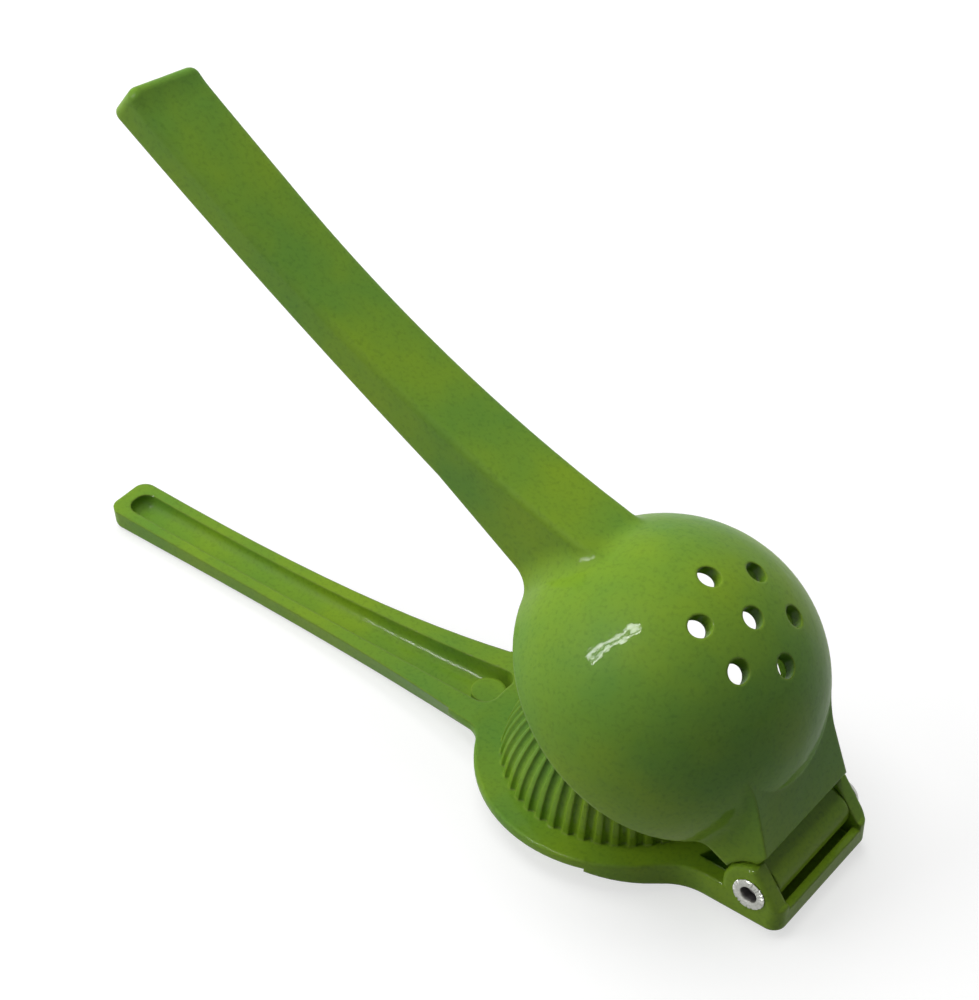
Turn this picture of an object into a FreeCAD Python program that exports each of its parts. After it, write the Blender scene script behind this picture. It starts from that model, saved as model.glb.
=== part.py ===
"""Hinged lemon squeezer: a perforated bowl arm over a ribbed plunger arm, on one riveted hinge.

Both castings are drawn closed, about the hinge axis: -X towards the handle tips, +Y along the
rivet, +Z from the plunger arm up to the bowl arm. At the end they are set on the table, with
the origin under the middle of the plunger, and the bowl arm is swung open.
"""
import FreeCAD, Part
import math
import os

Vector = FreeCAD.Vector

# Hinge, in millimetres and degrees
hinge_to_bowl = 44.5
hinge_height = 9.6
rest_opening = 34.4
closed_gap = 1.6
pin_diameter = 5.0
pin_clearance = 0.06
pin_seat_clearance = 0.02
pin_head_diameter = 8.2
pin_head_thickness = 1.4
pin_ring_diameter = 7.6
pin_ring_thickness = 0.6
pin_recess_diameter = 3.9
pin_recess_depth = 3.0

# Bowl
bowl_radius = 35.0
bowl_wall = 3.0
bowl_skirt = 2.4
drain_diameter = 5.0
drain_ring_radius = 11.8
drain_ring_count = 6

# Handle of the bowl arm
bowl_handle_tip = 210.2
bowl_handle_tip_slant = 0.15
bowl_handle_tip_half_width = 9.7
bowl_handle_end_half_width = 10.0
bowl_handle_waist_at = 150.0
bowl_handle_waist_half_width = 8.8
bowl_handle_root_half_width = 9.3
bowl_handle_back = 4.8
bowl_handle_sweep_at = 172.0
bowl_handle_sweep_radius = 300.0
bowl_handle_rim_level_to = 108.0
bowl_handle_sag_at = 178.0
bowl_handle_sag = 3.0
bowl_handle_tip_sag = 2.4
bowl_handle_wall = 2.2
bowl_handle_corner = 2.4
bowl_channel_corner = 0.8
bowl_handle_edge = 1.8
bowl_handle_lip_rise = 1.4
bowl_handle_lip_run = 8.0
bowl_neck_fillet = 6.5
casting_draft = 0.03

# Knuckle and cheeks of the bowl arm
knuckle_radius = 4.7
knuckle_half_width = 13.7
knuckle_side_clearance = 0.4
knuckle_web_at = 10.5
pocket_front = 5.6
pocket_half_width = 8.4
pocket_slope = 18.8
cheek_end = 4.0
cheek_end_height = 9.1
cheek_slope = 38.1
cheek_ridge_half_width = 14.5
cheek_half_width = 17.1
cheek_lean = 0.2
cheek_taper = 0.08
cheek_clearance = 0.6
cheek_fillet = 5.0

# Plunger
plunger_radius = 27.0
plunger_height = 23.8
plunger_wall = 3.0
rib_count = 46
groove_radius = 1.1
groove_depth = 0.9
groove_reach = 50.0
flange_radius = 32.8
flange_thickness = 3.0
flange_top_edge = 0.7
flange_low_edge = 1.3

# Handle of the plunger arm
plunger_handle_tip = 192.9
plunger_handle_tip_half_width = 6.7
plunger_handle_root_at = 70.0
plunger_handle_root_half_width = 14.0
plunger_handle_base_tip_half_width = 5.9
plunger_handle_base_root_half_width = 9.0
plunger_channel_root_half_width = 6.7
plunger_handle_sag_at = 153.0
plunger_handle_sag = 4.7
plunger_handle_tip_sag = 4.0
plunger_handle_wall = 3.0
plunger_handle_floor = 2.0
plunger_handle_corner = 3.2
plunger_handle_heel = 3.6
plunger_handle_edge = 1.2
plunger_handle_flare = 6.0
plunger_handle_flare_length = 6.7
channel_tip_corner = 3.2
channel_end_corner = 3.5
channel_floor_corner = 2.8
ejector_pad_diameter = 8.0
ejector_pad_gap = 0.3
ejector_pad_drop = 2.4

# Hinge box of the plunger arm
ear_radius = 6.85
ear_thickness = 4.0
ear_slope_offset = 4.55
ear_slope_angle = 35.1
box_end = 7.65
box_depth = 7.4
box_floor = 1.7
box_ramp_from = 33.0
box_ramp_to = 19.5
box_flare = 13.0
box_bar = 1.85
box_bar_drop = 3.0
box_corner = 3.0
ear_edge = 1.1

# What follows from them
bowl_x = -hinge_to_bowl
flange_top = -closed_gap
flange_low = flange_top - flange_thickness
flange_end = bowl_x - flange_radius
bowl_handle_far = -bowl_handle_tip - 2 * bowl_handle_tip_slant * bowl_handle_tip_half_width
table = -hinge_height
ear_inner = knuckle_half_width + knuckle_side_clearance
ear_outer = ear_inner + ear_thickness
pin_radius = pin_diameter / 2
far = 2 * bowl_handle_tip


def box(x0, x1, y0, y1, z0, z1):
    return Part.makeBox(x1 - x0, y1 - y0, z1 - z0, Vector(x0, y0, z0))


def upright_cylinder(radius, x, z0, z1):
    return Part.makeCylinder(radius, z1 - z0, Vector(x, 0, z0))


def cross_cylinder(radius, y0, y1):
    """A cylinder about the hinge axis."""
    return Part.makeCylinder(radius, y1 - y0, Vector(0, y0, 0), Vector(0, 1, 0))


def side_prism(points, y0, y1):
    """A side view in X and Z as a solid from y0 to y1; a point marked "arc" bends its edge."""
    edges = []
    here = Vector(points[0][0], y0, points[0][1])
    bend = None
    for x, z, *mark in points[1:] + points[:1]:
        there = Vector(x, y0, z)
        if mark:
            bend = there
            continue
        edge = Part.Arc(here, bend, there) if bend else Part.LineSegment(here, there)
        edges.append(edge.toShape())
        here = there
        bend = None
    return Part.Face(Part.Wire(edges)).extrude(Vector(0, y1 - y0, 0))


def beyond_plane(point, normal):
    """A large block with one face through the point, on the side the normal points to."""
    block = Part.makeBox(far, far, far, Vector(-far / 2, -far / 2, 0))
    block.Placement = FreeCAD.Placement(point, FreeCAD.Rotation(Vector(0, 0, 1), normal))
    return block


def tongue(tip, corner, side, z):
    """A handle's plan outline at height z, from one curved side, with round tip corners."""
    start = side.value(side.FirstParameter)
    root = side.value(side.LastParameter)
    bend = corner * (1 - math.sqrt(0.5))
    round_corner = Part.Arc(
        Vector(-tip, start.y - corner, 0), Vector(-tip + bend, start.y - bend, 0), start)
    half = [Part.makeLine(Vector(-tip, 0, 0), Vector(-tip, start.y - corner, 0)),
            round_corner.toShape(), side.toShape(),
            Part.makeLine(root, Vector(root.x, 0, 0))]
    mirrored = [edge.mirror(Vector(0, 0, 0), Vector(0, 1, 0)) for edge in reversed(half)]
    wire = Part.Wire(half + mirrored)
    wire.translate(Vector(0, 0, z))
    return wire


def bowl_handle_plan(z, inset):
    """The bowl arm's handle from above, left square past its tip: a slight waist, then the bowl."""
    end = bowl_handle_tip + bowl_handle_tip_half_width
    root = hinge_to_bowl + 0.4 * bowl_radius
    side = Part.Arc(
        Vector(-end, bowl_handle_end_half_width - inset, z),
        Vector(-bowl_handle_waist_at, bowl_handle_waist_half_width - inset, z),
        Vector(-root, bowl_handle_root_half_width - inset, z))
    start = side.value(side.FirstParameter)
    stop = side.value(side.LastParameter)
    near_start = Vector(start.x, -start.y, z)
    near_stop = Vector(stop.x, -stop.y, z)
    near_side = side.toShape().mirror(Vector(0, 0, 0), Vector(0, 1, 0))
    return Part.Wire([side.toShape(), Part.makeLine(stop, near_stop), near_side,
                      Part.makeLine(near_start, start)])


def bowl_handle_blank(floor, inset, corner):
    """A bar on the handle's plan less a wall, drafted, its tip cut aslant with round corners."""
    low = bowl_handle_plan(floor, inset + casting_draft * floor)
    high = bowl_handle_plan(bowl_radius, inset + casting_draft * bowl_radius)
    across = math.hypot(1, bowl_handle_tip_slant)
    end = Vector(-bowl_handle_tip + inset * across, 0, 0)
    past = beyond_plane(end, Vector(-1, bowl_handle_tip_slant, 0))
    bar = Part.makeLoft([low, high], True, True).cut(past)
    near_tip = -bowl_handle_tip + bowl_handle_tip_half_width
    upright = [e for e in bar.Edges
               if e.BoundBox.ZLength > bowl_radius and e.CenterOfMass.x < near_tip]
    return bar.makeFillet(corner, upright)


def sweep_height(x, offset):
    """Height of the handle's back, or of a surface at an offset under it, where it rises."""
    radius = bowl_handle_sweep_radius + offset
    centre = bowl_handle_back + bowl_handle_sweep_radius
    return centre - math.sqrt(radius ** 2 - (x + bowl_handle_sweep_at) ** 2)


def lip_height(x, offset):
    """Height of the back, or of a surface at an offset under it, where it curls up to the tip."""
    run = bowl_handle_lip_run
    rise = bowl_handle_lip_rise
    curl = (run ** 2 + rise ** 2) / (2 * rise)
    radius = curl + offset
    start = -bowl_handle_tip + run
    return bowl_handle_back + curl - math.sqrt(radius ** 2 - (x - start) ** 2)


def bowl_handle_side(offset, floor, root):
    """Side outline under the back at an offset: curled up at the tip, flat, then swept up."""
    back = bowl_handle_back - offset
    middle = (root - bowl_handle_sweep_at) / 2
    curl_from = -bowl_handle_tip + bowl_handle_lip_run
    halfway = (bowl_handle_far + curl_from) / 2
    return [
        (bowl_handle_far, floor),
        (bowl_handle_far, lip_height(bowl_handle_far, offset)),
        (halfway, lip_height(halfway, offset), "arc"),
        (curl_from, back),
        (-bowl_handle_sweep_at, back),
        (middle, sweep_height(middle, offset), "arc"),
        (root, sweep_height(root, offset)),
        (root, floor),
    ]


def is_back_edge(edge):
    """Whether an edge runs round the handle's back, between it and a side, a corner or the tip."""
    return edge.BoundBox.ZMin > 0 and edge.BoundBox.XLength > 0.1


def bowl_handle(floor):
    """The handle as a solid bar down to a floor under its rim, its back's edges rounded."""
    root = bowl_x - 0.4 * bowl_radius
    side = side_prism(bowl_handle_side(0, floor, root), -bowl_radius, bowl_radius)
    bar = bowl_handle_blank(floor, 0, bowl_handle_corner).common(side)
    return bar.makeFillet(bowl_handle_edge, [e for e in bar.Edges if is_back_edge(e)])


def bowl_handle_channel(floor):
    """The hollow under the handle, open towards the plunger arm and closed at the bowl."""
    wall = bowl_handle_wall
    root = bowl_x - bowl_radius - wall
    side = side_prism(bowl_handle_side(wall, floor, root), -bowl_radius, bowl_radius)
    return bowl_handle_blank(floor, wall, bowl_channel_corner).common(side)


def below_bowl_rim(floor):
    """Everything under the rim: level at the bowl, gently arched along the handle."""
    return side_prism([
        (far, 0),
        (-bowl_handle_rim_level_to, 0),
        (-bowl_handle_sag_at, -bowl_handle_sag, "arc"),
        (bowl_handle_far, -bowl_handle_tip_sag),
        (bowl_handle_far, floor),
        (far, floor),
    ], -far, far)


def bowl_solid(radius, floor):
    """Half a ball on a short straight skirt that reaches down to the floor given."""
    ball = Part.makeSphere(radius, Vector(bowl_x, 0, bowl_skirt))
    under = upright_cylinder(2 * radius, bowl_x, bowl_skirt - 2 * radius, bowl_skirt)
    return ball.cut(under).fuse(upright_cylinder(radius, bowl_x, floor, bowl_skirt))


def cheek_block(floor):
    """The block between bowl and hinge, with leaning sides and a top that falls to the hinge."""
    back = bowl_x + 0.5 * bowl_radius
    rise = math.tan(math.radians(cheek_slope))
    crest = bowl_skirt + 0.55 * bowl_radius
    block = side_prism([
        (back, floor),
        (back, crest),
        (-cheek_end - (crest - cheek_end_height) / rise, crest),
        (-cheek_end, cheek_end_height),
        (-cheek_end, floor),
    ], -bowl_radius, bowl_radius)
    for hand in (1, -1):
        foot = Vector(0, hand * cheek_half_width, 0)
        block = block.cut(beyond_plane(foot, Vector(cheek_taper, hand, cheek_lean)))
    return block


def knuckle():
    """The barrel about the rivet and the web that carries it from the bowl's rim."""
    barrel = cross_cylinder(knuckle_radius, -knuckle_half_width, knuckle_half_width)
    tangent = knuckle_radius * math.sqrt(0.5)
    rim = bowl_x + bowl_radius - bowl_wall / 2
    web = side_prism([
        (rim, 0),
        (-knuckle_web_at, 0),
        (-tangent, -tangent),
        (0, 0),
        (0, knuckle_radius),
        (rim, knuckle_radius),
    ], -knuckle_half_width, knuckle_half_width)
    return barrel.fuse(web)


def cheek_pocket():
    """The recess over the knuckle: level floor, a ramp up to the bowl, slanting cheek walls."""
    ramp = math.tan(math.radians(pocket_slope))
    pocket = side_prism([
        (knuckle_radius, knuckle_radius),
        (-pocket_front, knuckle_radius),
        (bowl_x, knuckle_radius + (-pocket_front - bowl_x) * ramp),
        (bowl_x, 2 * bowl_radius),
        (knuckle_radius, 2 * bowl_radius),
    ], -bowl_radius, bowl_radius)
    along = Vector(-1, 0, math.tan(math.radians(cheek_slope)))
    for hand in (1, -1):
        corner = Vector(-pocket_front, hand * pocket_half_width, knuckle_radius)
        ridge = Vector(-cheek_end, hand * cheek_ridge_half_width, cheek_end_height)
        normal = along.cross(corner - ridge) * hand
        pocket = pocket.cut(beyond_plane(corner, normal))
    return pocket.cut(bowl_solid(bowl_radius, 0))


def drain_holes():
    """One hole at the bowl's pole and a ring of holes round it, all cored upright."""
    holes = [upright_cylinder(drain_diameter / 2, bowl_x, 0, 2 * bowl_radius)]
    for k in range(drain_ring_count):
        turn = 2 * math.pi * k / drain_ring_count
        hole = upright_cylinder(drain_diameter / 2, bowl_x, 0, 2 * bowl_radius)
        hole.translate(Vector(math.cos(turn), math.sin(turn), 0) * drain_ring_radius)
        holes.append(hole)
    return holes


def on_bowl_skin(edge):
    """Whether an edge lies on the outer face of the bowl or of its skirt."""
    for share in (0.1, 0.5, 0.9):
        p = edge.valueAt(edge.FirstParameter + share * (edge.LastParameter - edge.FirstParameter))
        height = max(p.z - bowl_skirt, 0)
        if abs(math.sqrt((p.x - bowl_x) ** 2 + p.y ** 2 + height ** 2) - bowl_radius) > 0.01:
            return False
    return True


def seams(shape, x_low, x_high, y_from):
    """Edges between two planes across X where something meets the bowl's outer skin."""
    found = []
    for edge in shape.Edges:
        middle = edge.valueAt((edge.FirstParameter + edge.LastParameter) / 2)
        level = edge.BoundBox.ZLength < 0.01
        within = x_low < middle.x < x_high and abs(middle.y) >= y_from
        if within and not level and on_bowl_skin(edge):
            found.append(edge)
    return found


def make_bowl_arm():
    floor = -2 * bowl_handle_sag
    arm = bowl_solid(bowl_radius, floor).fuse(bowl_handle(floor))
    neck = seams(arm, -far, bowl_x - 0.3 * bowl_radius, 0)
    arm = arm.makeFillet(bowl_neck_fillet, neck)
    arm = arm.fuse(cheek_block(floor))
    flanks = seams(arm, bowl_x + 0.3 * bowl_radius, 0, pocket_half_width)
    arm = arm.makeFillet(cheek_fillet, flanks)
    arm = arm.cut(below_bowl_rim(2 * floor)).fuse(knuckle())
    clear = ear_radius + cheek_clearance
    arm = arm.cut([
        cross_cylinder(clear, knuckle_half_width, 2 * ear_outer),
        cross_cylinder(clear, -2 * ear_outer, -knuckle_half_width),
        cheek_pocket(),
        bowl_handle_channel(2 * floor),
        bowl_solid(bowl_radius - bowl_wall, floor),
    ])
    arm = arm.cut(drain_holes())
    return arm.cut(cross_cylinder(pin_radius + pin_clearance, -ear_outer, ear_outer))


def plunger_tongue(inset, corner, narrow, wide, z):
    """A plan outline of the plunger arm's handle, its sides flaring ever faster to the root."""
    tip = plunger_handle_tip - inset
    third = (tip - corner - plunger_handle_root_at) / 3
    side = Part.BezierCurve()
    side.setPoles([
        Vector(-tip + corner, narrow, 0),
        Vector(-tip + corner + third, narrow, 0),
        Vector(-tip + corner + 2 * third, narrow, 0),
        Vector(-plunger_handle_root_at, wide, 0),
    ])
    return tongue(tip, corner, side, z)


def plunger_handle_rim(z):
    """The handle's outline at the level of its rim."""
    return plunger_tongue(0, plunger_handle_corner, plunger_handle_tip_half_width,
                          plunger_handle_root_half_width, z)


def flange_plate(z_low, z_high):
    """Flange, handle root and hinge box in plan, flared into one another, from z_low to z_high."""
    root = Part.Face(plunger_handle_rim(z_low)).extrude(Vector(0, 0, z_high - z_low))
    reach = flange_end - plunger_handle_flare_length
    root = root.common(box(reach, 0, -far, far, z_low, z_high))
    plate = upright_cylinder(flange_radius, bowl_x, z_low, z_high)
    plate = plate.fuse([root, box(bowl_x, box_end, -ear_outer, ear_outer, z_low, z_high)])
    plate = plate.removeSplitter()
    upright = [e for e in plate.Edges if e.BoundBox.ZLength > 0.9 * (z_high - z_low)]
    off_rim = [e for e in upright if e.BoundBox.YLength < 0.01 and abs(e.CenterOfMass.y) > 1]
    for radius, x_low, x_high in (
            (plunger_handle_flare, flange_end, bowl_x - 0.5 * flange_radius),
            (box_flare, bowl_x + 0.5 * flange_radius, bowl_x + flange_radius),
            (box_corner, box_end - 0.1, box_end + 0.1)):
        here = [e for e in off_rim if x_low < e.CenterOfMass.x < x_high]
        plate = plate.makeFillet(radius, [match(plate, e) for e in here])
    return plate


def match(shape, edge):
    """The shape's own edge at the place of an edge of an earlier version of it."""
    middle = edge.CenterOfMass
    return min(shape.Edges, key=lambda e: e.CenterOfMass.distanceToPoint(middle))


def flange():
    """The flange plate with a soft top edge and a rounder lower edge."""
    plate = flange_plate(flange_low, flange_top)
    for radius, z in ((flange_low_edge, flange_low), (flange_top_edge, flange_top)):
        rim = [e for e in plate.Edges if lies_level(e, z)]
        end = flange_end - plunger_handle_flare_length + 0.01
        plate = plate.makeFillet(radius, [e for e in rim if e.CenterOfMass.x > end])
    return plate


def lies_level(edge, z):
    return abs(edge.BoundBox.ZMin - z) < 0.01 and abs(edge.BoundBox.ZMax - z) < 0.01


def dome():
    """The fluted dome above the flange: upright flutes of even depth with round upper ends."""
    ball = (plunger_radius ** 2 + plunger_height ** 2) / (2 * plunger_height)
    centre = Vector(bowl_x, 0, flange_top + plunger_height - ball)
    under = upright_cylinder(2 * ball, bowl_x, centre.z - 2 * ball, flange_top)
    track = ball - groove_depth + groove_radius
    end = math.radians(groove_reach)
    grooves = []
    for k in range(rib_count):
        turn = 2 * math.pi * k / rib_count
        out = Vector(math.cos(turn), math.sin(turn), 0)
        ring = Part.makeCircle(groove_radius, centre + out * track, Vector(0, 0, 1))
        across = out.cross(Vector(0, 0, 1))
        groove = Part.Face(Part.Wire(ring)).revolve(centre, across, groove_reach)
        tip = centre + (out * math.cos(end) + Vector(0, 0, math.sin(end))) * track
        grooves.append(groove.fuse(Part.makeSphere(groove_radius, tip)))
    return Part.makeSphere(ball, centre).cut([under] + grooves)


def plunger_hollow():
    """The space inside the dome and its skirt, open at the table."""
    ball = (plunger_radius ** 2 + plunger_height ** 2) / (2 * plunger_height)
    centre = Vector(bowl_x, 0, flange_top + plunger_height - ball)
    inner = ball - plunger_wall
    under = upright_cylinder(2 * ball, bowl_x, centre.z - 2 * ball, centre.z)
    throat = plunger_radius - plunger_wall
    column = upright_cylinder(throat, bowl_x, 2 * table, centre.z)
    return Part.makeSphere(inner, centre).cut(under).fuse(column)


def plunger_handle():
    """The solid bar down to the table, its heel rounded and its rim sagging between its ends."""
    heel = plunger_handle_heel
    bend = heel * (1 - math.sqrt(0.5))
    root = -plunger_handle_root_at
    base = plunger_tongue(0, plunger_handle_corner, plunger_handle_base_tip_half_width,
                          plunger_handle_base_root_half_width, table)
    bar = Part.makeLoft([base, plunger_handle_rim(flange_top)], True, True)
    side = side_prism([
        (root, flange_top),
        (-plunger_handle_tip, flange_top),
        (-plunger_handle_tip, table + heel),
        (-plunger_handle_tip + bend, table + bend, "arc"),
        (-plunger_handle_tip + heel, table),
        (root, table),
    ], -flange_radius, flange_radius)
    bar = bar.common(side)
    low = [e for e in bar.Edges if lies_level(e, table) and e.BoundBox.XLength > heel]
    return bar.makeFillet(plunger_handle_edge, low)


def above_plunger_rim():
    """Everything over the handle's rim, from the flange outwards."""
    return side_prism([
        (flange_end, flange_top),
        (-plunger_handle_sag_at, -plunger_handle_sag, "arc"),
        (-plunger_handle_tip, -plunger_handle_tip_sag),
        (-plunger_handle_tip, bowl_radius),
        (flange_end, bowl_radius),
    ], -flange_radius, flange_radius)


def plunger_channel():
    """The hollow of the handle, open upwards, from the tip wall to the flange's circle."""
    low = table + plunger_handle_floor
    wall = plunger_handle_wall
    lean = casting_draft * (flange_top - low)
    narrow = plunger_handle_tip_half_width - wall
    wide = plunger_channel_root_half_width
    mouth = plunger_tongue(wall, channel_tip_corner, narrow, wide, flange_top)
    base = plunger_tongue(wall + lean, channel_tip_corner - lean, narrow - lean, wide - lean, low)
    channel = Part.makeLoft([base, mouth], True, True)
    channel = channel.cut(upright_cylinder(flange_radius, bowl_x, 2 * table, 2 * bowl_radius))
    upright = [e for e in channel.Edges if e.BoundBox.ZLength > 0.9 * (flange_top - low)]
    ends = [e for e in upright if e.CenterOfMass.x > flange_end - wall]
    channel = channel.makeFillet(channel_end_corner, ends)
    around_floor = [e for e in channel.Edges if lies_level(e, low)]
    return channel.makeFillet(channel_floor_corner, around_floor)


def ejector_pad():
    """The short round stub that stands on the channel's floor, just outside the flange."""
    radius = ejector_pad_diameter / 2
    middle = flange_end - ejector_pad_gap - radius
    return upright_cylinder(radius, middle, table + 0.5 * plunger_handle_floor,
                            flange_top - ejector_pad_drop)


def ear(hand):
    """One side of the hinge: a round boss with a slope cut off it, down to the box's underside."""
    outer = hand * ear_outer
    y0, y1 = sorted((hand * ear_inner, outer))
    blank = cross_cylinder(ear_radius, y0, y1)
    blank = blank.fuse(box(0, box_end, y0, y1, -box_depth, ear_radius)).removeSplitter()
    corner = [e for e in blank.Edges if e.BoundBox.ZLength > ear_radius
              and e.CenterOfMass.x > box_end - 0.1 and abs(e.CenterOfMass.y - outer) < 0.1]
    blank = blank.makeFillet(box_corner, corner)
    lean = math.radians(ear_slope_angle)
    normal = Vector(math.cos(lean), 0, math.sin(lean))
    blank = blank.cut(beyond_plane(normal * ear_slope_offset, normal))
    outline = [e for e in blank.Edges if abs(e.BoundBox.YMin - outer) < 0.01
               and abs(e.BoundBox.YMax - outer) < 0.01 and e.CenterOfMass.z > -box_depth + 0.1]
    return blank.makeFillet(ear_edge, outline)


def hinge_box():
    """The box under the ears: deeper than the flange, with its underside ramped up to it."""
    top = flange_low + flange_low_edge
    return flange_plate(-box_depth, top).common(side_prism([
        (-box_ramp_from, top),
        (-box_ramp_from, flange_low),
        (-box_ramp_to, -box_depth),
        (2 * box_end, -box_depth),
        (2 * box_end, top),
    ], -far, far))


def hinge_well():
    """The space between the ears that the knuckle turns in, and the room over the end bar."""
    bar = box_end - box_bar
    well = box(bowl_x, bar, -ear_inner, ear_inner, -box_depth + box_floor, bowl_radius)
    well = well.cut(upright_cylinder(flange_radius, bowl_x, 2 * table, 2 * bowl_radius))
    return well.fuse(box(0, 2 * box_end, -ear_inner, ear_inner, -box_bar_drop, bowl_radius))


def make_plunger_arm():
    skirt = upright_cylinder(plunger_radius, bowl_x, table, flange_low)
    arm = flange().fuse([dome(), skirt, plunger_handle(), hinge_box(), ear(1), ear(-1)])
    arm = arm.cut([above_plunger_rim(), plunger_channel(), hinge_well(), plunger_hollow()])
    arm = arm.fuse(ejector_pad())
    seat = cross_cylinder(pin_radius + pin_seat_clearance, -2 * ear_outer, 2 * ear_outer)
    return arm.cut(seat)


def make_hinge_pin():
    """A semi-tubular rivet: plain head at +Y, hollow end rolled over into a ring at -Y."""
    pin = cross_cylinder(pin_radius, -ear_outer - pin_ring_thickness, ear_outer)
    head = cross_cylinder(pin_head_diameter / 2, ear_outer, ear_outer + pin_head_thickness)
    ring = cross_cylinder(pin_ring_diameter / 2, -ear_outer - pin_ring_thickness, -ear_outer)
    mouth = -ear_outer - pin_ring_thickness
    recess = cross_cylinder(pin_recess_diameter / 2, mouth, mouth + pin_recess_depth)
    rims = [e for e in head.Edges if e.CenterOfMass.y > ear_outer + 0.9 * pin_head_thickness]
    head = head.makeFillet(0.7 * pin_head_thickness, rims[:1])
    return pin.fuse([head, ring]).cut(recess).removeSplitter()


def main():
    bowl_arm = make_bowl_arm()
    bowl_arm.rotate(Vector(0, 0, 0), Vector(0, 1, 0), rest_opening)
    pieces = {
        "bowl_arm": bowl_arm,
        "plunger_arm": make_plunger_arm(),
        "hinge_pin": make_hinge_pin(),
    }
    os.makedirs("parts", exist_ok=True)
    for name, shape in pieces.items():
        shape.translate(Vector(hinge_to_bowl, 0, hinge_height))
        print(name, shape.isValid(), len(shape.Solids), round(shape.Volume, 1))
        shape.exportStep("parts/" + name + ".step")


if __name__ == "__main__":
    main()
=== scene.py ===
"""A hinged lemon squeezer in green enamelled casting: the looks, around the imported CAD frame."""
import math

import bpy
from mathutils import Matrix, Vector


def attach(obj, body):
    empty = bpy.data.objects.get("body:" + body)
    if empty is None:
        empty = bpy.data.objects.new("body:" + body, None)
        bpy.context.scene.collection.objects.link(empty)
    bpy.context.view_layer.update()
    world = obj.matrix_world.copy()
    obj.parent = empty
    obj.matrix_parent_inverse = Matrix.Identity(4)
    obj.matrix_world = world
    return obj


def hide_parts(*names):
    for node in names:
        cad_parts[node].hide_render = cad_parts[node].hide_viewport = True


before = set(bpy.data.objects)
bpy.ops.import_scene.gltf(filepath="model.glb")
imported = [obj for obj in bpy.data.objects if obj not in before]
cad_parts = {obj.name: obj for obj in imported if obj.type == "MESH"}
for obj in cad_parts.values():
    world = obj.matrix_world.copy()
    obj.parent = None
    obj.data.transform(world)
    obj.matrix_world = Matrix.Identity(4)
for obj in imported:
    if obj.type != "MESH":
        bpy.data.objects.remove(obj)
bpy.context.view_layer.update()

# Plunger arm
# The lower casting: a fluted dome on a flange, a channelled handle and the box of the hinge. It is
# die-cast aluminium under baked green enamel, faintly cloudy, rippled, and thinner over the edges.
enamel_lime = (0.195, 0.325, 0.016, 1)
enamel_leaf = (0.118, 0.262, 0.028, 1)
enamel_thin = (0.215, 0.335, 0.024, 1)
enamel_grain_dark = (0.80, 0.82, 0.85, 1)
enamel_roughness = 0.5
enamel_specular = 0.06
enamel_gloss = 0.17
enamel_gloss_roughness = 0.05
cloud_scale = 30
cloud_detail = 4
cloud_leaf = 0.36
cloud_lime = 0.64
grain_scale = 1100
grain_start = 0.5
grain_full = 0.75
ripple_scale = 190
ripple_height = 0.00016
fine_detail = 2
# The enamel rounds an edge by this radius, and is thin where the rounded and the true normal part:
# from the first cosine between them to the second.
enamel_edge_radius = 0.0009
enamel_edge_samples = 6
thin_start = 0.94
thin_full = 0.70


def finish_pattern(tree, place, scale, detail):
    """A random pattern that is fixed to the piece, as the socket of its value."""
    pattern = tree.nodes.new("ShaderNodeTexNoise")
    pattern.inputs["Scale"].default_value = scale
    pattern.inputs["Detail"].default_value = detail
    tree.links.new(place.outputs["Object"], pattern.inputs["Vector"])
    return pattern.outputs["Fac"]


def finish_mask(tree, value, start, full):
    """A mask from a value: nothing up to start, all from full on, and even between them."""
    mask = tree.nodes.new("ShaderNodeMapRange")
    mask.inputs["From Min"].default_value = start
    mask.inputs["From Max"].default_value = full
    tree.links.new(value, mask.inputs["Value"])
    return mask.outputs["Result"]


def finish_colour(tree, mask, over):
    """A mix in which the colour over shows by the mask. The colour under it is left to be given."""
    mix = tree.nodes.new("ShaderNodeMix")
    mix.data_type = "RGBA"
    mix.inputs["B"].default_value = over
    tree.links.new(mask, mix.inputs["Factor"])
    return mix


enamel = bpy.data.materials.new("green_enamel")
enamel.use_nodes = True
enamel_tree = enamel.node_tree
coat = enamel_tree.nodes["Principled BSDF"]
coat.inputs["Roughness"].default_value = enamel_roughness
coat.inputs["Specular IOR Level"].default_value = enamel_specular
coat.inputs["Coat Weight"].default_value = enamel_gloss
coat.inputs["Coat Roughness"].default_value = enamel_gloss_roughness
enamel_place = enamel_tree.nodes.new("ShaderNodeTexCoord")

cloud = finish_pattern(enamel_tree, enamel_place, cloud_scale, cloud_detail)
cloudy = finish_mask(enamel_tree, cloud, cloud_leaf, cloud_lime)
mottle = finish_colour(enamel_tree, cloudy, enamel_lime)
mottle.inputs["A"].default_value = enamel_leaf

grain = finish_pattern(enamel_tree, enamel_place, grain_scale, fine_detail)
specks = finish_mask(enamel_tree, grain, grain_start, grain_full)
grained = finish_colour(enamel_tree, specks, enamel_grain_dark)
grained.blend_type = "MULTIPLY"
enamel_tree.links.new(mottle.outputs["Result"], grained.inputs["A"])

rounded = enamel_tree.nodes.new("ShaderNodeBevel")
rounded.samples = enamel_edge_samples
rounded.inputs["Radius"].default_value = enamel_edge_radius
surface = enamel_tree.nodes.new("ShaderNodeNewGeometry")
agree = enamel_tree.nodes.new("ShaderNodeVectorMath")
agree.operation = "DOT_PRODUCT"
enamel_tree.links.new(rounded.outputs["Normal"], agree.inputs[0])
enamel_tree.links.new(surface.outputs["Normal"], agree.inputs[1])
edge = finish_mask(enamel_tree, agree.outputs["Value"], thin_start, thin_full)
thin = finish_colour(enamel_tree, edge, enamel_thin)
enamel_tree.links.new(grained.outputs["Result"], thin.inputs["A"])
enamel_tree.links.new(thin.outputs["Result"], coat.inputs["Base Color"])

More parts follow.
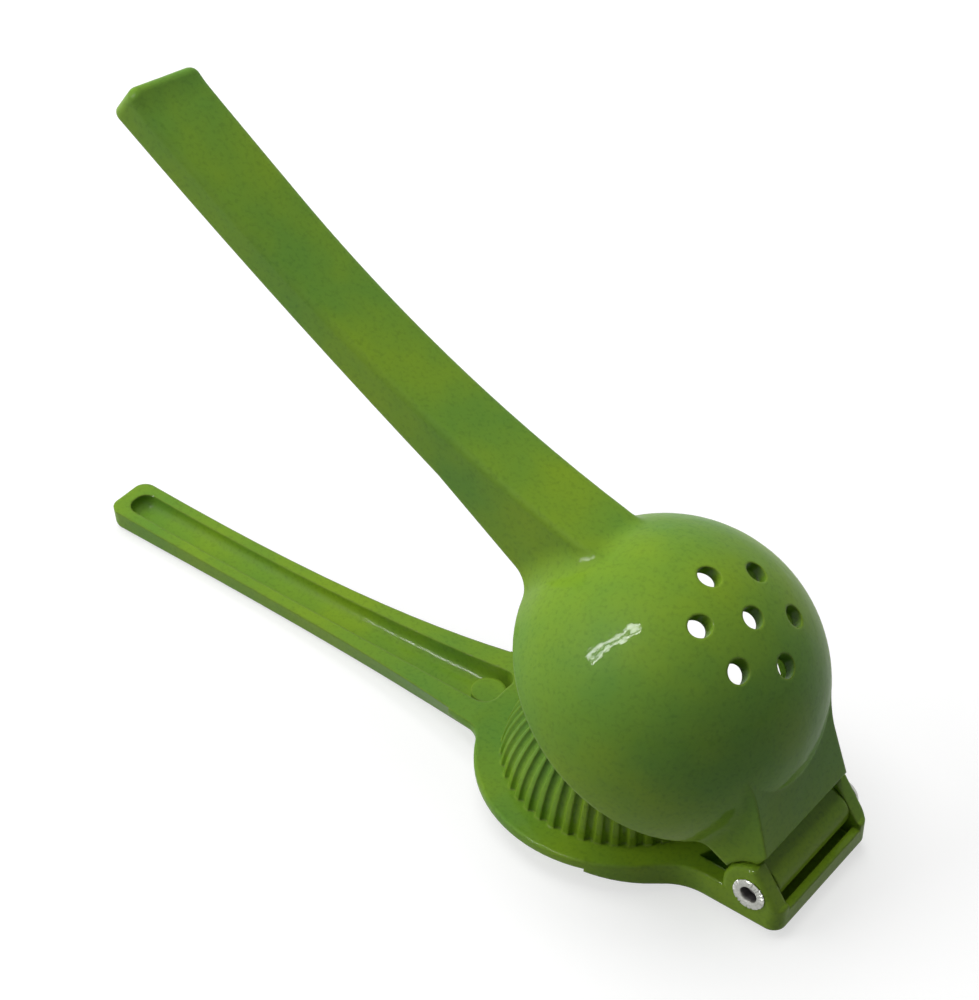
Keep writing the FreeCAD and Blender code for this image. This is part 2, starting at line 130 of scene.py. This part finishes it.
ripple = finish_pattern(enamel_tree, enamel_place, ripple_scale, fine_detail)
peel = enamel_tree.nodes.new("ShaderNodeBump")
peel.inputs["Strength"].default_value = 1
peel.inputs["Distance"].default_value = ripple_height
enamel_tree.links.new(ripple, peel.inputs["Height"])
enamel_tree.links.new(rounded.outputs["Normal"], peel.inputs["Normal"])
enamel_tree.links.new(peel.outputs["Normal"], coat.inputs["Normal"])
enamel_tree.links.new(peel.outputs["Normal"], coat.inputs["Coat Normal"])

plunger_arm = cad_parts["plunger_arm"]
plunger_arm.data.materials.clear()
plunger_arm.data.materials.append(enamel)

# Bowl arm
# The upper casting: a perforated bowl between a long swept handle and the knuckle of the hinge,
# with the same enamel over it.
bowl_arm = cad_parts["bowl_arm"]
bowl_arm.data.materials.clear()
bowl_arm.data.materials.append(enamel)

# Hinge rivet
# A semi-tubular steel rivet with a low domed head. A press has rolled its hollow end over into a
# ring against the ear, and has left the marks of its toothed punch round the ring.
hinge_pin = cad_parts["hinge_pin"]
pin_corners = [hinge_pin.matrix_world @ Vector(corner) for corner in hinge_pin.bound_box]
hinge_x = sum(corner.x for corner in pin_corners) / len(pin_corners)
hinge_z = sum(corner.z for corner in pin_corners) / len(pin_corners)
shank_radius = 0.0025
ear_face = 0.0181
rivet_sides = 96
# Each step of an end is a radius and a height over the ear's face.
rolled_ring = [(0.0034, 0.0), (0.0038, 0.00012), (0.00385, 0.0003), (0.00365, 0.00052),
               (0.0032, 0.0006), (0.0026, 0.00056), (0.0021, 0.00036), (0.00195, 0.0),
               (0.0019, -0.0022), (0.0004, -0.003)]
domed_head = [(0.00405, 0.0), (0.0041, 0.0003), (0.0040, 0.0006), (0.0036, 0.001),
              (0.0028, 0.00125), (0.0016, 0.00137), (0.0004, 0.0014)]
toothed_steps = (2, 3, 4)
tooth_pitch = 4
tooth_depth = 0.0003
rivet_smooth_angle = math.radians(40)
# An end's face looks along the rivet and lies beyond this share of the way to the ear's face.
end_facing = 0.99
end_share = 0.9
same_place = 1e-5

bpy.ops.object.select_all(action="DESELECT")
bpy.ops.mesh.primitive_cylinder_add(vertices=rivet_sides, radius=shank_radius, depth=2 * ear_face,
                                    location=(hinge_x, 0, hinge_z), rotation=(math.pi / 2, 0, 0))
rivet = bpy.context.object
rivet.name = "hinge_rivet"
bpy.ops.object.transform_apply(location=True, rotation=True, scale=True)
for hand, steps in ((-1, rolled_ring), (1, domed_head)):
    bpy.ops.object.mode_set(mode="EDIT")
    bpy.ops.mesh.select_mode(type="FACE")
    bpy.ops.mesh.select_all(action="DESELECT")
    bpy.ops.object.mode_set(mode="OBJECT")
    for face in rivet.data.polygons:
        looks_out = face.normal.y * hand > end_facing
        face.select = looks_out and face.center.y * hand > end_share * ear_face
    bpy.ops.object.mode_set(mode="EDIT")
    here_radius = shank_radius
    here_height = 0.0
    for radius, height in steps:
        bpy.ops.mesh.extrude_region()
        bpy.ops.transform.translate(value=(0, hand * (height - here_height), 0))
        bpy.ops.transform.resize(value=(radius / here_radius, 1, radius / here_radius),
                                 center_override=(hinge_x, hand * (ear_face + height), hinge_z))
        here_radius = radius
        here_height = height
    bpy.ops.object.mode_set(mode="OBJECT")

# The punch has pressed the ring's crown in at about every fourth vertex. The vertices lie halfway
# between steps, so that a step falls on one, on two or on none, which makes the teeth uneven.
ring_at = [rolled_ring[number] for number in toothed_steps]
bpy.ops.object.mode_set(mode="EDIT")
bpy.ops.mesh.select_mode(type="VERT")
bpy.ops.mesh.select_all(action="DESELECT")
bpy.ops.object.mode_set(mode="OBJECT")
for vertex in rivet.data.vertices:
    across = vertex.co.x - hinge_x
    above = vertex.co.z - hinge_z
    step = round((math.atan2(above, across) / (2 * math.pi)) * rivet_sides - 0.5)
    radius = math.hypot(across, above)
    height = -vertex.co.y - ear_face
    on_ring = any(abs(radius - ring_radius) < same_place and abs(height - ring_height) < same_place
                  for ring_radius, ring_height in ring_at)
    vertex.select = on_ring and step % tooth_pitch == 0
bpy.ops.object.mode_set(mode="EDIT")
bpy.ops.transform.translate(value=(0, tooth_depth, 0))
bpy.ops.mesh.select_all(action="SELECT")
bpy.ops.mesh.normals_make_consistent(inside=False)
bpy.ops.object.mode_set(mode="OBJECT")
bpy.ops.object.shade_smooth_by_angle(angle=rivet_smooth_angle)

steel_dark = (0.30, 0.31, 0.28, 1)
steel_bright = (0.62, 0.62, 0.58, 1)
# The colour of the shade painted into the rivet's hollow end.
steel_painted_shade = (0.16, 0.15, 0.15, 1)
steel_least_rough = 0.28
steel_most_rough = 0.5
scratch_scale = 2600
# Painted shade darkens the hollow end, from this far over the ear's face to this far under it.
painted_shade_over = 0.0003
painted_shade_under = 0.0006

steel = bpy.data.materials.new("rivet_steel")
steel.use_nodes = True
steel_tree = steel.node_tree
metal = steel_tree.nodes["Principled BSDF"]
metal.inputs["Metallic"].default_value = 1
steel_place = steel_tree.nodes.new("ShaderNodeTexCoord")
steel_at = steel_tree.nodes.new("ShaderNodeSeparateXYZ")
steel_tree.links.new(steel_place.outputs["Object"], steel_at.inputs["Vector"])
# A mask of painted shade: the hollow end of the rivet is coloured dark from just over the ear's
# face inwards.
deep = finish_mask(steel_tree, steel_at.outputs["Y"], -ear_face - painted_shade_over, -ear_face + painted_shade_under)
hollow_half = steel_tree.nodes.new("ShaderNodeMath")
hollow_half.operation = "LESS_THAN"
hollow_half.inputs[1].default_value = 0
steel_tree.links.new(steel_at.outputs["Y"], hollow_half.inputs[0])
hollow_painted_shade = steel_tree.nodes.new("ShaderNodeMath")
hollow_painted_shade.operation = "MULTIPLY"
steel_tree.links.new(deep, hollow_painted_shade.inputs[0])
steel_tree.links.new(hollow_half.outputs["Value"], hollow_painted_shade.inputs[1])
scratch = finish_pattern(steel_tree, steel_place, scratch_scale, fine_detail)
bright = finish_colour(steel_tree, scratch, steel_bright)
bright.inputs["A"].default_value = steel_dark
shaded_steel = finish_colour(steel_tree, hollow_painted_shade.outputs["Value"], steel_painted_shade)
steel_tree.links.new(bright.outputs["Result"], shaded_steel.inputs["A"])
steel_tree.links.new(shaded_steel.outputs["Result"], metal.inputs["Base Color"])
rough = steel_tree.nodes.new("ShaderNodeMapRange")
rough.inputs["To Min"].default_value = steel_least_rough
rough.inputs["To Max"].default_value = steel_most_rough
steel_tree.links.new(scratch, rough.inputs["Value"])
steel_tree.links.new(rough.outputs["Result"], metal.inputs["Roughness"])
rivet.data.materials.append(steel)
hinge_pin.data.materials.clear()
hinge_pin.data.materials.append(steel)
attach(rivet, "plunger_arm")
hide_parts("hinge_pin")

# Table
# A plain matt white table top, which carries the squeezer and keeps its soft shadow. It glows only
# to rays that show it, so that it looks white and throws no more light on the squeezer.
table_size = 6.0
table_gap = 0.0002
table_colour = (0.42, 0.42, 0.42, 1)
table_roughness = 0.9
table_glow = 0.64
white_light = (1, 1, 1, 1)


def white_where_seen(tree):
    """The socket that is 1 for rays from the camera, off gloss and through glass, and else 0."""
    path = tree.nodes.new("ShaderNodeLightPath")
    mirrored = tree.nodes.new("ShaderNodeMath")
    mirrored.operation = "MAXIMUM"
    tree.links.new(path.outputs["Is Camera Ray"], mirrored.inputs[0])
    tree.links.new(path.outputs["Is Glossy Ray"], mirrored.inputs[1])
    seen = tree.nodes.new("ShaderNodeMath")
    seen.operation = "MAXIMUM"
    tree.links.new(mirrored.outputs["Value"], seen.inputs[0])
    tree.links.new(path.outputs["Is Transmission Ray"], seen.inputs[1])
    return seen.outputs["Value"]


bpy.ops.object.select_all(action="DESELECT")
bpy.ops.mesh.primitive_plane_add(size=table_size, location=(0, 0, -table_gap))
table = bpy.context.object
table.name = "table"
white = bpy.data.materials.new("white_table")
white.use_nodes = True
table_tree = white.node_tree
paint = table_tree.nodes["Principled BSDF"]
paint.inputs["Base Color"].default_value = table_colour
paint.inputs["Roughness"].default_value = table_roughness
paint.inputs["Specular IOR Level"].default_value = 0
paint.inputs["Emission Color"].default_value = white_light
table_lift = table_tree.nodes.new("ShaderNodeMath")
table_lift.operation = "MULTIPLY"
table_lift.inputs[1].default_value = table_glow
table_tree.links.new(white_where_seen(table_tree), table_lift.inputs[0])
table_tree.links.new(table_lift.outputs["Value"], paint.inputs["Emission Strength"])
table.data.materials.append(white)

# Camera
# It stands where the photograph was taken from: well above the squeezer, on the side of the rivet's
# rolled end, with a long lens and a slight roll.
camera_at = Vector((0.2277, -0.3560, 0.4387))
camera_back = Vector((0.4555, -0.6111, 0.6473)).normalized()
camera_roll = math.radians(0.9)
camera_film_height = 36
camera_lens_length = 98.59
camera_nearest = 0.01

lens = bpy.data.cameras.new("camera")
lens.sensor_fit = "VERTICAL"
lens.sensor_height = camera_film_height
lens.lens = camera_lens_length
lens.clip_start = camera_nearest
camera = bpy.data.objects.new("camera", lens)
bpy.context.scene.collection.objects.link(camera)
level = Vector((0, 0, 1)).cross(camera_back).normalized()
upright = camera_back.cross(level)
right = math.cos(camera_roll) * level + math.sin(camera_roll) * upright
up = camera_back.cross(right)
turn = Matrix((right, up, camera_back)).transposed()
camera.matrix_world = Matrix.Translation(camera_at) @ turn.to_4x4()
bpy.context.scene.camera = camera

# Studio light
# One soft panel hangs overhead and one stands to the left, and a dim white room fills in. Two thin
# tubes side by side, up to the left of the camera, only make the twin streak in the enamel.
bowl_middle = Vector((0.009, 0.0, 0.037))
tube_distance = 1.0
tube_width = 0.034
tube_length = 0.66
tube_spacing = 0.062
tube_power = 5.0
panel_distance = 1.3
panel_side = 1.1
overhead_power = 15.5
side_power = 10.5
room_fill = 0.09
backdrop_white = 1.0
# These directions run across, up and back of the camera.
tube_middle = Vector((-0.60, 0.442, 0.667)).normalized()
tube_along = Vector((0.48, 0.51, 0.32))
tube_aside = tube_middle.cross(tube_along).normalized()
overhead_toward = Vector((-0.21, 0.91, 0.37))
side_toward = Vector((-0.89, 0.33, 0.26))
panel_along = Vector((0, 1, 0.3))


def lamp(name, toward, distance, width, length, along, power):
    """An area lamp that faces the bowl. Toward and along run across, up and back of the camera."""
    light = bpy.data.lights.new(name, "AREA")
    light.shape = "RECTANGLE"
    light.size = length
    light.size_y = width
    light.energy = power
    holder = bpy.data.objects.new(name, light)
    bpy.context.scene.collection.objects.link(holder)
    away = toward.normalized()
    long_way = (along - along.dot(away) * away).normalized()
    short_way = away.cross(long_way)
    faced = Matrix((turn @ long_way, turn @ short_way, turn @ away)).transposed().to_4x4()
    holder.matrix_world = Matrix.Translation(bowl_middle + turn @ away * distance) @ faced
    return holder


for number, hand in ((1, -1), (2, 1)):
    toward = tube_middle + tube_aside * hand * tube_spacing / 2 / tube_distance
    tube = lamp("tube_lamp_" + str(number), toward, tube_distance, tube_width, tube_length,
                tube_along, tube_power)
    tube.visible_diffuse = False
for name, toward, power in (("overhead_panel", overhead_toward, overhead_power),
                            ("side_panel", side_toward, side_power)):
    panel = lamp(name, toward, panel_distance, panel_side, panel_side, panel_along, power)
    panel.visible_glossy = False

room = bpy.data.worlds.new("white_room")
bpy.context.scene.world = room
room.use_nodes = True
room_tree = room.node_tree
fill = room_tree.nodes["Background"]
fill.inputs["Color"].default_value = white_light
fill.inputs["Strength"].default_value = room_fill
backdrop = room_tree.nodes.new("ShaderNodeBackground")
backdrop.inputs["Color"].default_value = white_light
backdrop.inputs["Strength"].default_value = backdrop_white
choose = room_tree.nodes.new("ShaderNodeMixShader")
room_tree.links.new(white_where_seen(room_tree), choose.inputs["Fac"])
room_tree.links.new(fill.outputs["Background"], choose.inputs[1])
room_tree.links.new(backdrop.outputs["Background"], choose.inputs[2])
room_tree.links.new(choose.outputs["Shader"], room_tree.nodes["World Output"].inputs["Surface"])

bpy.context.scene.view_settings.view_transform = "Standard"
